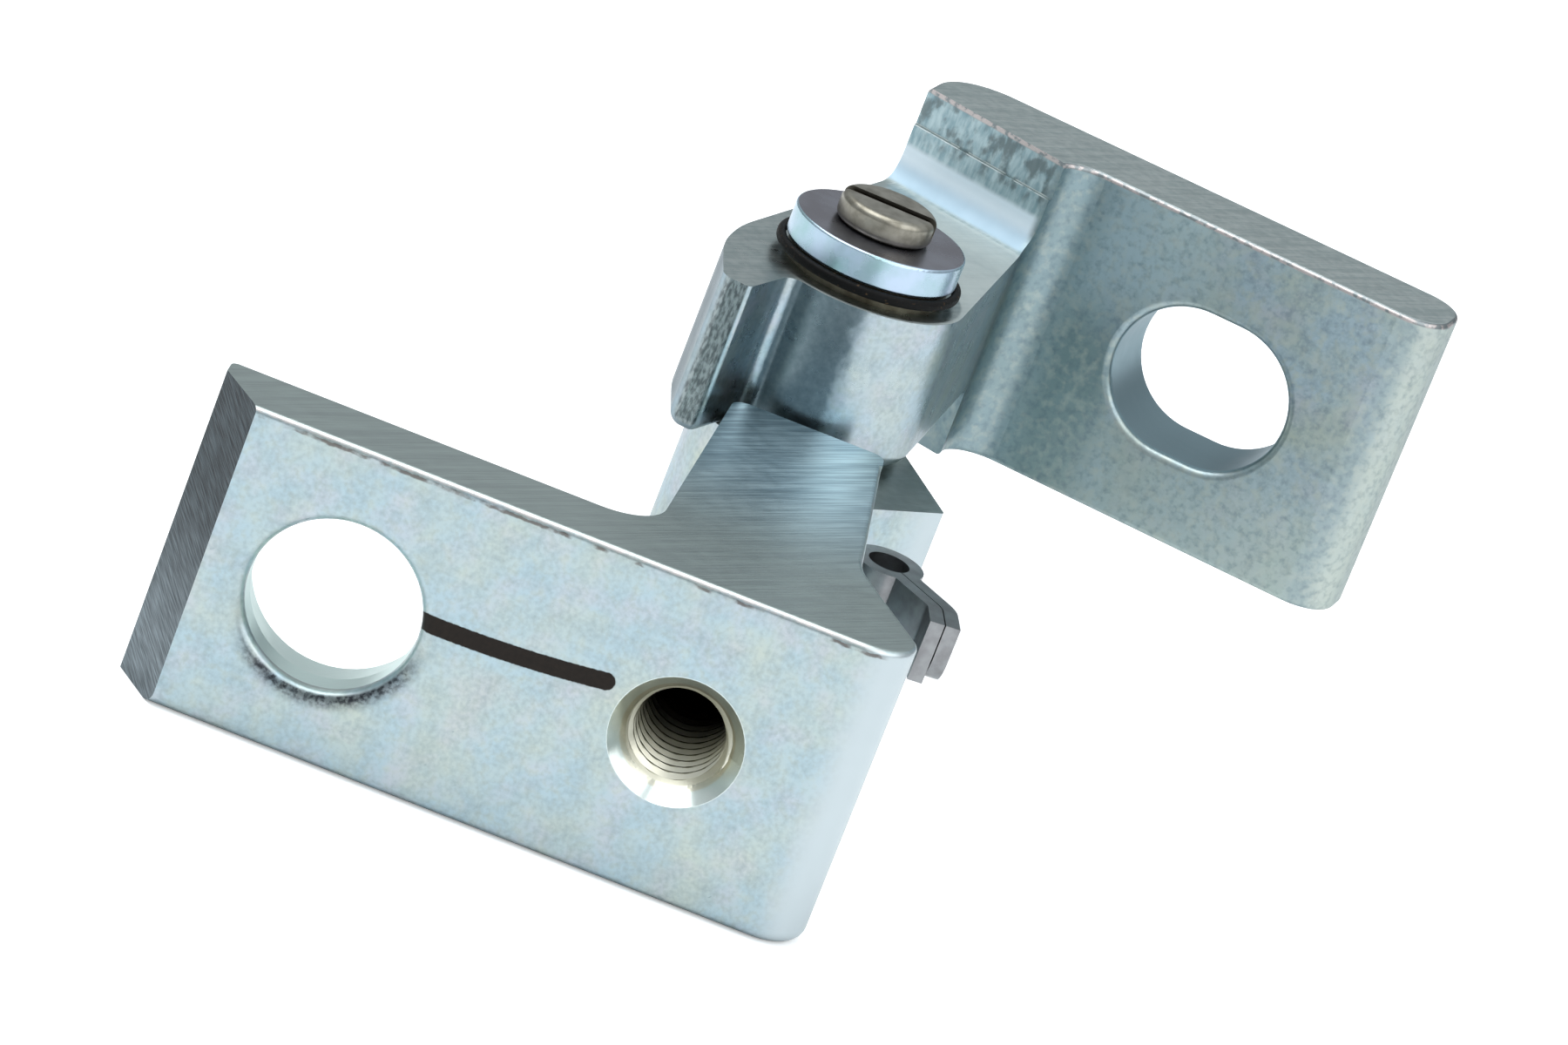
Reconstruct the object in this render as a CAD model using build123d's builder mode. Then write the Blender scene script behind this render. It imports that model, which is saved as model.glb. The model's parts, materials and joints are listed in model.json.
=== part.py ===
"""Car door hinge: a sawn and milled pillar leaf and door leaf on one pin, zinc plated.

Frame, in mm: X runs along the pillar leaf's plate, Y runs back from its mounting face towards the
door leaf, Z is up along the hinge pin. The origin lies on the mounting face of the pillar leaf,
midway between its two fixing holes. The leaves stand as they do with the door almost fully open.
"""
import os
from math import acos, atan2, cos, hypot, radians, sin

from build123d import *

# Pin axis: to the right of the threaded hole, and back from the mounting face
pin_from_thread = 0.4
pin_y = 49.0

# Pillar leaf: distances to left and right are from the pin axis
pillar_h = 24.5
pillar_plate_t = 6.9
pillar_left = 40.1
pillar_right = 13.3
bevel_back = 4.9
bevel_in = 3.3
pillar_end_r = 3.6
pillar_flank_r = 2.0
pillar_back_r = 0.6
pillar_front_edge_r = 0.5
pillar_foot_edge_r = 1.2
neck_left_root = 7.4
neck_left_tip = 5.7
neck_right_root = 7.7
neck_right_tip = 6.5
neck_left_fillet = 4.5
neck_corner_r = 1.5
flank_start = 4.2
flank_end = 14.7
flank_blend_r = 8.0
lower_knuckle_r = 8.7
lug_x = 12.4
lug_y = 6.2
lug_root_y = 11.7
lug_edge_r = 0.4
recess_depth = 3.65
recess_wall_y = 9.5
recess_corner_r = 1.0

# Fixing holes of the pillar leaf
hole_pitch = 26.5
plain_hole_d = 13.0
plain_hole_edge_r = 0.9
plain_hole_land = 3.0
plain_hole_back_d = 14.2
thread_d = 8.0
thread_sink_d = 10.0
thread_sink_depth = 1.2
thread_depth = 20.0
drill_point = 2.3

# Door leaf, on its own axes: along its plate, and back from the pin axis
door_angle = -13.5
door_h = 25.8
door_above = 17.8
door_plate_t = 8.6
door_plate_front = 25.0
door_left = 6.8
door_right = 38.9
door_back_left_r = 5.0
door_back_right_r = 3.2
door_front_right_r = 3.6
door_root_fillet = 3.4
door_edge_r = 0.4
knuckle_r = 8.3
knuckle_top = 9.9
knuckle_bottom = 2.85
arm_right_root = 5.8
nose_left = 10.0
nose_left_y = 2.0
nose_side_x = 9.5
nose_side_y = 7.2
nose_tip_y = 14.4
nose_tip_left = 6.7
nose_tip_right = 4.4
nose_side_r = 16.0
nose_tip_left_r = 1.2
nose_tip_right_r = 0.5
nose_root_x = 3.3
nose_root_y = 7.0
nose_left_r = 20.0
nose_valley_r = 1.2
knuckle_foot_edge_r = 1.2
slot_width = 12.2
slot_length = 14.8
slot_from_pin = 22.8
slot_edge_r = 0.7

# Milled steps that leave the door leaf's knuckle standing at part of the leaf's height
mill_offset = 24.2
mill_skew = -13.0
under_mill_offset = 22.2
mill_foot_r = 2.4
first_pass_depth = 3.2
first_pass_step = 0.3

# Pin, bushes, seal, washer and screw
pin_d = 9.0
pin_end_inset = 0.6
pin_chamfer = 0.6
push_gap = 0.01
running_gap = 0.03
end_play = 0.05
bush_wall = 1.0
bush_length = 5.5
bush_flange_d = 13.0
upper_flange_t = 1.4
seal_gap = 0.3
seal_wall = 0.7
seal_t = 0.8
seal_edge_r = 0.3
washer_d = 13.8
washer_t = 2.5
washer_edge_r = 0.25
screw_d = 4.0
screw_length = 9.0
screw_clearance = 0.25
head_d = 7.7
head_t = 2.15
head_edge_r = 0.6
head_base_r = 0.6
head_slot_w = 1.2
head_slot_depth = 1.2
head_slot_turn = -5.0

# Spring clip beside the neck: a strip folded back on itself
clip_t = 1.15
clip_slit = 0.1
clip_w = 5.0
clip_below_top = 6.0
clip_eye_d = 5.6
clip_eye_y = 14.4
clip_bend_x = 14.6
clip_bend_y = 19.6
clip_bend_r = 2.0
clip_end_x = 15.2
clip_end_y = 22.9
clip_seat_gap = 0.02
clip_end_r = 2.2

# Levels and places that follow from the sizes above
thread_x = hole_pitch / 2
plain_hole_x = -hole_pitch / 2
pin_x = thread_x + pin_from_thread
top_z = pillar_h / 2
recess_z = top_z - recess_depth
knuckle_top_z = top_z + knuckle_top
knuckle_bottom_z = top_z - knuckle_bottom
door_top_z = top_z + door_above
door_bottom_z = door_top_z - door_h
door_mid_z = (door_top_z + door_bottom_z) / 2
plate_front = -pin_y
plate_back = pillar_plate_t - pin_y
lower_flange_t = recess_depth - knuckle_bottom - end_play
washer_z = knuckle_top_z + upper_flange_t + end_play
head_z = washer_z + washer_t
bush_d = pin_d + 2 * running_gap + 2 * bush_wall
seal_inner_r = bush_flange_d / 2 + seal_gap
clear = 60.0
overrun = 1.0

# The door leaf's own directions, and the milled face's, seen from above
along = (cos(radians(door_angle)), sin(radians(door_angle)), 0)
back = (-sin(radians(door_angle)), cos(radians(door_angle)), 0)
mill_angle = radians(door_angle + mill_skew)
mill_to_pin = (sin(mill_angle), -cos(mill_angle), 0)
mill_run = (-cos(mill_angle), -sin(mill_angle), 0)
mill_at = (pin_x + mill_offset * back[0], pin_y + mill_offset * back[1], 0)
under_mill_at = (pin_x + under_mill_offset * back[0], pin_y + under_mill_offset * back[1], 0)

# The neck's tapered right side, where the recess, the lug and the clip meet it
neck_root_y = pin_y - flank_end
neck_taper = (neck_right_root - neck_right_tip) / (neck_root_y - recess_wall_y)
lug_root_x = neck_right_tip + neck_taper * (lug_root_y - recess_wall_y)
recess_side_y = lug_root_y + overrun
recess_side_x = neck_right_tip + neck_taper * (recess_side_y - recess_wall_y)
eye_front_y = clip_eye_y + clip_eye_d / 2
neck_at_eye_x = neck_right_tip + neck_taper * (eye_front_y - recess_wall_y)
eye_x = neck_at_eye_x + clip_seat_gap + clip_eye_d / 2

# Where the lug's back runs into the lower knuckle
lug_back = acos(lower_knuckle_r / hypot(lug_x, lug_y)) - atan2(lug_y, lug_x)


def near(shape, x, y):
    """The corner of a sketch that lies nearest to a point in the sketch."""
    return shape.vertices().sort_by_distance((x, y, 0))[0]


# Pillar leaf: a length of bar with plate, neck and knuckle, its knuckle milled down from the top
with BuildPart() as pillar_leaf:
    with BuildSketch(Plane(origin=(pin_x, pin_y, top_z))) as bar:
        with BuildLine():
            Polyline(
                (-pillar_left, plate_front + bevel_back),
                (-pillar_left + bevel_in, plate_front),
                (pillar_right, plate_front),
                (pillar_right, plate_front + flank_start),
                (neck_right_root, -neck_root_y),
                (neck_right_tip, -recess_wall_y),
                (neck_right_tip, 0),
                (-neck_left_tip, 0),
                (-neck_left_tip, -recess_wall_y),
                (-neck_left_root, plate_back),
                (-pillar_left, plate_back),
                close=True,
            )
        make_face()
        fillet(near(bar, pillar_right, plate_front), pillar_end_r)
        fillet(near(bar, pillar_right, plate_front + flank_start), pillar_flank_r)
        fillet(near(bar, neck_right_root, -neck_root_y), flank_blend_r)
        fillet(near(bar, -neck_left_root, plate_back), neck_left_fillet)
        fillet(near(bar, -pillar_left, plate_back), pillar_back_r)
    extrude(amount=-pillar_h)
    front_face = pillar_leaf.faces().sort_by(Axis.Y)[0]
    fillet(front_face.edges().sort_by(Axis.Z)[-1], pillar_front_edge_r)
    front_face = pillar_leaf.faces().sort_by(Axis.Y)[0]
    fillet(front_face.edges().sort_by(Axis.Z)[0], pillar_foot_edge_r)
    with BuildSketch(Plane(origin=(pin_x, pin_y, top_z))):
        Circle(lower_knuckle_r)
    extrude(amount=-pillar_h)
    with BuildSketch(Plane(origin=(pin_x, pin_y, top_z))) as lug:
        with BuildLine():
            Polyline(
                (0, 0),
                (0, -lug_root_y),
                (lug_root_x, -lug_root_y),
                (lug_x, -lug_y),
                (lower_knuckle_r * cos(lug_back), lower_knuckle_r * sin(lug_back)),
                close=True,
            )
        make_face()
        fillet(near(lug, lug_x, -lug_y), lug_edge_r)
    extrude(amount=-pillar_h)
    with BuildSketch(Plane(origin=(pin_x, pin_y, recess_z))) as recess:
        with BuildLine():
            Polyline(
                (-clear, -recess_wall_y),
                (neck_right_tip, -recess_wall_y),
                (recess_side_x, -recess_side_y),
                (clear, -recess_side_y),
                (clear, clear),
                (-clear, clear),
                close=True,
            )
        make_face()
        fillet(near(recess, neck_right_tip, -recess_wall_y), recess_corner_r)
    extrude(amount=recess_depth + overrun, mode=Mode.SUBTRACT)
    neck_corner = (pin_x - neck_left_tip, pin_y - recess_wall_y, top_z - recess_depth / 2)
    fillet(pillar_leaf.edges().filter_by(Axis.Z).sort_by_distance(neck_corner)[0], neck_corner_r)
    with BuildSketch(Plane(origin=(pin_x, pin_y, recess_z))):
        Circle(pin_d / 2 + push_gap)
    extrude(amount=-pillar_h, mode=Mode.SUBTRACT)
    with BuildSketch(Plane(origin=(plain_hole_x, 0, 0))):
        with BuildLine():
            Polyline(
                (0, 0),
                (plain_hole_d / 2, 0),
                (plain_hole_d / 2, plain_hole_land),
                (plain_hole_back_d / 2, pillar_plate_t),
                (0, pillar_plate_t),
                close=True,
            )
        make_face()
    revolve(axis=Axis((plain_hole_x, 0, 0), (0, 1, 0)), mode=Mode.SUBTRACT)
    rim = pillar_leaf.edges().filter_by(GeomType.CIRCLE).sort_by_distance((plain_hole_x, 0, 0))[0]
    fillet(rim, plain_hole_edge_r)
    with BuildSketch(Plane(origin=(thread_x, 0, 0))):
        with BuildLine():
            Polyline(
                (0, 0),
                (thread_sink_d / 2, 0),
                (thread_d / 2, thread_sink_depth),
                (thread_d / 2, thread_depth),
                (0, thread_depth + drill_point),
                close=True,
            )
        make_face()
    revolve(axis=Axis((thread_x, 0, 0), (0, 1, 0)), mode=Mode.SUBTRACT)

# Door leaf: plate, arm and knuckle with its stop nose, milled away above and below the knuckle
root_reach = hypot(arm_right_root, door_plate_front)
arm_tangent = atan2(door_plate_front, arm_right_root) - acos(knuckle_r / root_reach)
with BuildPart() as door_leaf:
    with BuildSketch(Plane(origin=(pin_x, pin_y, door_bottom_z), x_dir=along)) as plan:
        with BuildLine():
            Polyline(
                (-door_left, door_plate_front + door_plate_t),
                (-door_left, door_plate_front),
                (-nose_left, -nose_left_y),
                (-nose_side_x, -nose_side_y),
                (-nose_tip_left, -nose_tip_y),
                (-nose_tip_right, -nose_tip_y),
                (-nose_root_x, -nose_root_y),
                (0, 0),
                (knuckle_r * cos(arm_tangent), knuckle_r * sin(arm_tangent)),
                (arm_right_root, door_plate_front),
                (door_right, door_plate_front),
                (door_right, door_plate_front + door_plate_t),
                close=True,
            )
        make_face()
        fillet(near(plan, -door_left, door_plate_front + door_plate_t), door_back_left_r)
        fillet(near(plan, door_right, door_plate_front + door_plate_t), door_back_right_r)
        fillet(near(plan, door_right, door_plate_front), door_front_right_r)
        fillet(near(plan, arm_right_root, door_plate_front), door_root_fillet)
        fillet(near(plan, -nose_left, -nose_left_y), nose_left_r)
        fillet(near(plan, -nose_side_x, -nose_side_y), nose_side_r)
        fillet(near(plan, -nose_tip_left, -nose_tip_y), nose_tip_left_r)
        fillet(near(plan, -nose_tip_right, -nose_tip_y), nose_tip_right_r)
        Circle(knuckle_r)
        fillet(near(plan, -nose_root_x, -knuckle_r * sin(acos(nose_root_x / knuckle_r))), nose_valley_r)
    extrude(amount=door_h)
    fillet(door_leaf.faces().sort_by(Axis.Z)[-1].edges(), door_edge_r)
    fillet(door_leaf.faces().sort_by(Axis.Z)[0].edges(), door_edge_r)
    with BuildSketch(Plane(origin=mill_at, x_dir=mill_to_pin, z_dir=mill_run)) as top_cut:
        with BuildLine():
            Polyline(
                (0, knuckle_top_z),
                (0, door_top_z - first_pass_depth),
                (-first_pass_step, door_top_z - first_pass_depth),
                (-first_pass_step, door_top_z + overrun),
                (clear, door_top_z + overrun),
                (clear, knuckle_top_z),
                close=True,
            )
        make_face()
        fillet(near(top_cut, 0, knuckle_top_z), mill_foot_r)
    extrude(amount=clear, both=True, mode=Mode.SUBTRACT)
    with BuildSketch(Plane(origin=under_mill_at, x_dir=mill_to_pin, z_dir=mill_run)):
        with BuildLine():
            Polyline(
                (0, knuckle_bottom_z),
                (0, door_bottom_z - overrun),
                (clear, door_bottom_z - overrun),
                (clear, knuckle_bottom_z),
                close=True,
            )
        make_face()
    extrude(amount=clear, both=True, mode=Mode.SUBTRACT)
    foot_face = door_leaf.faces().filter_by(Axis.Z).sort_by_distance((pin_x, pin_y, knuckle_bottom_z))[0]
    fillet(foot_face.edges().sort_by(Axis((0, 0, 0), back))[:-1], knuckle_foot_edge_r)
    with BuildSketch(Plane(origin=(pin_x, pin_y, knuckle_top_z))):
        Circle(bush_d / 2 + push_gap)
    extrude(amount=-(knuckle_top + knuckle_bottom), mode=Mode.SUBTRACT)
    slot_centre = (
        pin_x + slot_from_pin * along[0] + door_plate_front * back[0],
        pin_y + slot_from_pin * along[1] + door_plate_front * back[1],
        door_mid_z,
    )
    with BuildSketch(Plane(origin=slot_centre, x_dir=along, z_dir=back)):
        SlotOverall(slot_length, slot_width)
    extrude(amount=door_plate_t, mode=Mode.SUBTRACT)
    slot_rim = door_leaf.edges(Select.LAST).sort_by(Axis((0, 0, 0), back))[:4]
    fillet(slot_rim, slot_edge_r)

# Hinge pin: pushed into the pillar leaf's knuckle, tapped at its top for the retaining screw
with BuildPart() as hinge_pin:
    with BuildSketch(Plane(origin=(pin_x, pin_y, pin_end_inset - top_z))):
        Circle(pin_d / 2)
    extrude(amount=washer_z - pin_end_inset + top_z)
    chamfer(hinge_pin.edges().sort_by(Axis.Z)[0], pin_chamfer)
    with BuildSketch(Plane(origin=(pin_x, pin_y, washer_z))):
        Circle(screw_d / 2 + push_gap)
    extrude(amount=-screw_length, mode=Mode.SUBTRACT)

# Flanged plain bushes, pushed into the door leaf's knuckle from above and from below
with BuildPart() as upper_bush:
    with BuildSketch(Plane(origin=(pin_x, pin_y, knuckle_top_z))):
        Circle(bush_flange_d / 2)
    extrude(amount=upper_flange_t)
    with BuildSketch(Plane(origin=(pin_x, pin_y, knuckle_top_z))):
        Circle(bush_d / 2)
    extrude(amount=-bush_length)
    with BuildSketch(Plane(origin=(pin_x, pin_y, knuckle_top_z + upper_flange_t))):
        Circle(pin_d / 2 + running_gap)
    extrude(amount=-bush_length - upper_flange_t, mode=Mode.SUBTRACT)

with BuildPart() as lower_bush:
    with BuildSketch(Plane(origin=(pin_x, pin_y, knuckle_bottom_z))):
        Circle(bush_flange_d / 2)
    extrude(amount=-lower_flange_t)
    with BuildSketch(Plane(origin=(pin_x, pin_y, knuckle_bottom_z))):
        Circle(bush_d / 2)
    extrude(amount=bush_length)
    with BuildSketch(Plane(origin=(pin_x, pin_y, knuckle_bottom_z - lower_flange_t))):
        Circle(pin_d / 2 + running_gap)
    extrude(amount=bush_length + lower_flange_t, mode=Mode.SUBTRACT)

# Rubber seal round the upper bush's flange, under the washer
with BuildPart() as seal_ring:
    with BuildSketch(Plane(origin=(pin_x, pin_y, washer_z))):
        Circle(seal_inner_r + seal_wall)
        Circle(seal_inner_r, mode=Mode.SUBTRACT)
    extrude(amount=-seal_t)
    fillet(seal_ring.edges().filter_by(GeomType.CIRCLE), seal_edge_r)

# Retaining washer, clamped on the pin's end
with BuildPart() as cap_washer:
    with BuildSketch(Plane(origin=(pin_x, pin_y, washer_z))):
        Circle(washer_d / 2)
        Circle(screw_d / 2 + screw_clearance, mode=Mode.SUBTRACT)
    extrude(amount=washer_t)
    outer_rims = cap_washer.edges().filter_by(GeomType.CIRCLE).sort_by(SortBy.RADIUS)[-2:]
    fillet(outer_rims, washer_edge_r)

# Slotted pan head screw in the pin's end
with BuildPart() as retaining_screw:
    with BuildSketch(Plane(origin=(pin_x, pin_y, head_z))):
        Circle(head_d / 2)
    extrude(amount=head_t)
    fillet(retaining_screw.edges().sort_by(Axis.Z)[-1], head_edge_r)
    fillet(retaining_screw.edges().sort_by(Axis.Z)[0], head_base_r)
    with BuildSketch(Plane(origin=(pin_x, pin_y, head_z + head_t))):
        Rectangle(2 * head_d, head_slot_w, rotation=head_slot_turn)
    extrude(amount=-head_slot_depth, mode=Mode.SUBTRACT)
    with BuildSketch(Plane(origin=(pin_x, pin_y, head_z))):
        Circle(screw_d / 2)
    extrude(amount=-screw_length)

# Spring clip: a strip on edge, folded round an eye beside the neck, its two thicknesses bent forward
with BuildPart() as spring_clip:
    with BuildSketch(Plane(origin=(pin_x, pin_y, top_z - clip_below_top))):
        with BuildLine() as fold:
            FilletPolyline(
                (eye_x, -clip_eye_y),
                (clip_bend_x, -clip_bend_y),
                (clip_end_x, -clip_end_y),
                radius=clip_bend_r,
            )
        trace(fold.edges(), 2 * clip_t + clip_slit)
        with Locations((eye_x, -clip_eye_y)):
            Circle(clip_eye_d / 2)
            Circle(clip_eye_d / 2 - clip_t, mode=Mode.SUBTRACT)
        trace(fold.edges(), clip_slit, mode=Mode.SUBTRACT)
    extrude(amount=-clip_w)
    foot_edges = spring_clip.faces().sort_by(Axis.Y)[:2].edges().group_by(Axis.Z)[0]
    fillet(foot_edges.sort_by(Axis.X)[-1], clip_end_r)

os.makedirs("parts", exist_ok=True)
pillar_leaf.part.label = "pillar_leaf"
export_step(pillar_leaf.part, "parts/pillar_leaf.step")
door_leaf.part.label = "door_leaf"
export_step(door_leaf.part, "parts/door_leaf.step")
hinge_pin.part.label = "hinge_pin"
export_step(hinge_pin.part, "parts/hinge_pin.step")
upper_bush.part.label = "upper_bush"
export_step(upper_bush.part, "parts/upper_bush.step")
lower_bush.part.label = "lower_bush"
export_step(lower_bush.part, "parts/lower_bush.step")
seal_ring.part.label = "seal_ring"
export_step(seal_ring.part, "parts/seal_ring.step")
cap_washer.part.label = "cap_washer"
export_step(cap_washer.part, "parts/cap_washer.step")
retaining_screw.part.label = "retaining_screw"
export_step(retaining_screw.part, "parts/retaining_screw.step")
spring_clip.part.label = "spring_clip"
export_step(spring_clip.part, "parts/spring_clip.step")
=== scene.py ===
"""Looks of the car door hinge: plating, saw and mill marks, thread, floor, light and camera."""
import json
from math import cos, pi, radians, sin

import bpy
from mathutils import Matrix, Vector


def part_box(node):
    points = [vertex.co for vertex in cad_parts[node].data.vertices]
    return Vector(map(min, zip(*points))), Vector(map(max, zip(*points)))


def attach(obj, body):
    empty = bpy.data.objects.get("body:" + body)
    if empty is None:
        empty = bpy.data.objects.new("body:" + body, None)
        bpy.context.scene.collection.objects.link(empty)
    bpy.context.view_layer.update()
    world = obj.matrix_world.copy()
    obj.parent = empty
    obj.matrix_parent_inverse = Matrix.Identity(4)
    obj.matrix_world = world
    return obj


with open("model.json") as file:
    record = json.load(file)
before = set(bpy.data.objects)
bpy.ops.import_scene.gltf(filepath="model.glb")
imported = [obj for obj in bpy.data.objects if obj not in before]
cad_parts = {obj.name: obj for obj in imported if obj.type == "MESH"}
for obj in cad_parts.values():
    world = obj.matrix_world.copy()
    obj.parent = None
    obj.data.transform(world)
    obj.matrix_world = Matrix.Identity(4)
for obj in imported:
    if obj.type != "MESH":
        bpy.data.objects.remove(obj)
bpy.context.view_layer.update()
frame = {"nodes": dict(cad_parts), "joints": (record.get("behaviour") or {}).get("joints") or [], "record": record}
scene = bpy.context.scene

# Camera fitted to the photograph, taken as 1800 by 1200 pixels; depth in metres
PHOTO_W = 1800
PHOTO_H = 1200
FOCAL_PX = 8822.1
CAMERA_ELEVATION = radians(19.876)
CAMERA_AZIMUTH = radians(0.198)
CAMERA_ROLL = radians(21.431)
ANCHOR_PX = (940.77, 445.99)
ANCHOR_DEPTH = 0.59308
SENSOR_MM = 36.0
CLIP_START = 0.01

# Directions in the hinge's frame: the door leaf's plate is turned about the pin
UP = Vector((0, 0, 1))
FRONT = Vector((0, -1, 0))
RIGHT = Vector((1, 0, 0))
DOOR_TURN = radians(-13.5)
DOOR_ALONG = Vector((cos(DOOR_TURN), sin(DOOR_TURN), 0))
DOOR_FRONT = Vector((sin(DOOR_TURN), -cos(DOOR_TURN), 0))
SAW_TURN = radians(49)
SAW_ALONG = Vector((cos(SAW_TURN), sin(SAW_TURN), 0))
SAW_ACROSS = Vector((-sin(SAW_TURN), cos(SAW_TURN), 0))
BEVEL_FACING = Vector((-0.83, -0.56, 0))
BEVEL_ALONG = Vector((0.526, -0.779, -0.343))
BEVEL_ACROSS = BEVEL_FACING.cross(BEVEL_ALONG)
SCRATCH_ALONG = Vector((0.8, 0.2, 0.6))
SCRATCH_ACROSS = Vector((-0.6, 0.2, 0.8))

# Places taken from the frame, in mm
MM_PER_M = 1000.0
PIN_AT = Vector(frame["joints"][0]["pos_m"]) * MM_PER_M
PIN_AHEAD = PIN_AT.dot(DOOR_FRONT)
PIN_ASIDE = PIN_AT.dot(DOOR_ALONG)
SLOT_BOX = frame["record"]["physics"]["openings"][0]["box_m"]
SLOT_AT = (Vector(SLOT_BOX[0]) + Vector(SLOT_BOX[1])) / 2 * MM_PER_M
SLOT_ASIDE = SLOT_AT.dot(DOOR_ALONG) - PIN_ASIDE
PILLAR_TOP_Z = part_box("pillar_leaf")[1].z * MM_PER_M
DOOR_TOP_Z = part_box("door_leaf")[1].z * MM_PER_M
HEAD_TOP_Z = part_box("retaining_screw")[1].z * MM_PER_M

# Sizes of the two fixing holes, the thread and the door leaf's knuckle, in mm
PLAIN_HOLE_X = -13.25
PLAIN_HOLE_R = 6.5
THREAD_X = 13.25
THREAD_OUTER_R = 4.0
THREAD_CORE_R = 3.4
THREAD_PITCH = 1.25
THREAD_START = 1.2
THREAD_END = 19.9
SINK_MOUTH_R = 5.0
LINER_WALL_R = 4.05
THREAD_SIDES = 72
ROWS_PER_PITCH = 16
FLANK_SLOPE = 2.6
FLANK_FLAT = 0.2
KNUCKLE_R = 8.3
KNUCKLE_TOP_Z = 22.15
PASS_Z = 26.85

# Below, a pair of numbers says where a soft step starts and where it is full, in mm. Where its name
# ends in FACES, it is how squarely a face looks one way, with 1 for straight at it.
SQUARE_FACES = (0.8, 0.95)
FLAT_FACES = (0.9, 0.97)
FRONT_FACES = (0.0, 0.3)

# Pillar leaf: painted highlight and dirt on the front edge, painted sheen on the neck, sunk top of the lug, sawn
# bevel with painted shade, and painted sheen on the right end
EDGE_FRONT = (-0.6, -0.2)
# painted highlight: the band along the top of the front edge that is painted bright
EDGE_HIGHLIGHT_UP = (PILLAR_TOP_Z - 0.33, PILLAR_TOP_Z - 0.25)
EDGE_DIRT_FOOT = (PILLAR_TOP_Z - 0.73, PILLAR_TOP_Z - 0.59)
EDGE_DIRT_TOP = (PILLAR_TOP_Z - 0.35, PILLAR_TOP_Z - 0.45)
EDGE_WANDER = 0.18
NECK_FRONT = (-8.0, -30.0)
LUG_TOP_UP = (PILLAR_TOP_Z - 0.35, PILLAR_TOP_Z - 0.65)
BEVEL_FACES = (0.93, 0.98)
BEVEL_RIGHT = (-20.0, -21.0)
BEVEL_SHADE_FADE_UP = (6.0, -12.0)
# painted sheen on the rounded right end
END_SHEEN_RIGHT = (22.5, 25.5)
END_SHEEN_FACES = (0.8, 0.5)

# Plain hole and the painted dark reflection under its rim, by distance from the hole's axis and along FRONT
HOLE_WALL_R = (PLAIN_HOLE_R + 0.7, PLAIN_HOLE_R + 0.6)
HOLE_WALL_FRONT = (-0.8, -1.0)
HOLE_SHADE_SIDE = Vector((0.28, 0, -0.96))
HOLE_SHADE_ALONG = (HOLE_SHADE_SIDE.x * PLAIN_HOLE_X + 1.8, HOLE_SHADE_SIDE.x * PLAIN_HOLE_X + 5.5)
HOLE_SHADE_OUTER_R = (PLAIN_HOLE_R + 1.7, PLAIN_HOLE_R + 0.6)
HOLE_SHADE_INNER_R = (PLAIN_HOLE_R + 0.2, PLAIN_HOLE_R + 0.4)
HOLE_SHADE_FACES = (0.1, 0.4)

# Countersink and thread, by distance from the hole's axis and along FRONT; the thread has painted shade deeper in
SINK_R = (SINK_MOUTH_R + 0.1, SINK_MOUTH_R - 0.05)
SINK_FRONT = (-THREAD_START - 0.3, -THREAD_START - 0.1)
THREAD_R = (THREAD_OUTER_R + 0.3, THREAD_OUTER_R + 0.1)
THREAD_MOUTH_FRONT = (-0.7, -1.0)
THREAD_SHADE_FRONT = (-4.0, -15.0)
THREAD_FOOT_FRONT = (-23.0, -22.5)

# Dark marker line drawn on the mounting face: its ends (x, z), width and sag in mm
MARK_START = (-6.6, 1.6)
MARK_END = (7.0, 2.45)
MARK_WIDTH = 1.4
MARK_SAG = 0.25
MARK_RAGGED = 0.06
MARK_SOFT = 0.05
MARK_FACES = (0.2, 0.5)
MARK_FRONT = (-2.0, -1.5)

# Door leaf: ahead and aside are measured from the pin, aside along the plate
PLATE_AHEAD = (-14.0, -19.0)
SLOT_NEAR_ASIDE = (9.0, 8.0)
SLOT_NEAR_UP = (7.5, 6.8)
SLOT_WALL_FACES = (0.7, 0.2)
# Door plate's painted shade near the root, painted sheen upper left, and painted shade left of the slot
ROOT_SHADE_ASIDE = (17.0, 9.0)
ROOT_STRIPE_ASIDE = (8.5, 10.5)
SHEEN_LEFT_ASIDE = (10.0, 12.0)
SHEEN_RIGHT_ASIDE = (24.0, 16.0)
SHEEN_UP = (17.0, 25.0)
SHADE_LEFT_ASIDE = (9.0, 12.0)
SHADE_RIGHT_ASIDE = (17.5, 14.5)
SHADE_UP = (22.0, 15.0)
FOOT_UP = (20.0, 2.0)
FOOT_ASIDE = (4.0, 24.0)
DOOR_END_FACES = (0.15, 0.7)
DOOR_END_ASIDE = (30.0, 34.0)
BEND_START_FACES = (0.0, 0.2)
BEND_END_FACES = (0.75, 0.35)
BEND_ASIDE = (28.0, 30.0)
# The door leaf's upper edge: painted darker to dim its highlight, with broken painted highlights
DOOR_EDGE_UP = (DOOR_TOP_Z - 0.45, DOOR_TOP_Z - 0.3)
DOOR_EDGE_FACES = (0.9, 0.7)

# Door leaf's knuckle: painted shade down its front and on the nose, and a painted highlight on its rim outside the
# seal ring
KNUCKLE_SHADE_FACES = (0.2, 0.06)
KNUCKLE_SHADE_ASIDE = (-7.5, -5.0)
KNUCKLE_SHADE_AHEAD = (3.0, 6.0)
NOSE_SHADE_ASIDE = (-6.5, -8.0)
NOSE_FACET_AHEAD = (13.4, 14.2)
# painted highlight on the knuckle's rim
RIM_R = (KNUCKLE_R - 0.5, KNUCKLE_R - 0.2)
RIM_ASIDE = (-5.0, -1.0)
RIM_NEAR_UP = (0.1, 0.05)
RIM_FACES = (0.6, 0.9)

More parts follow.
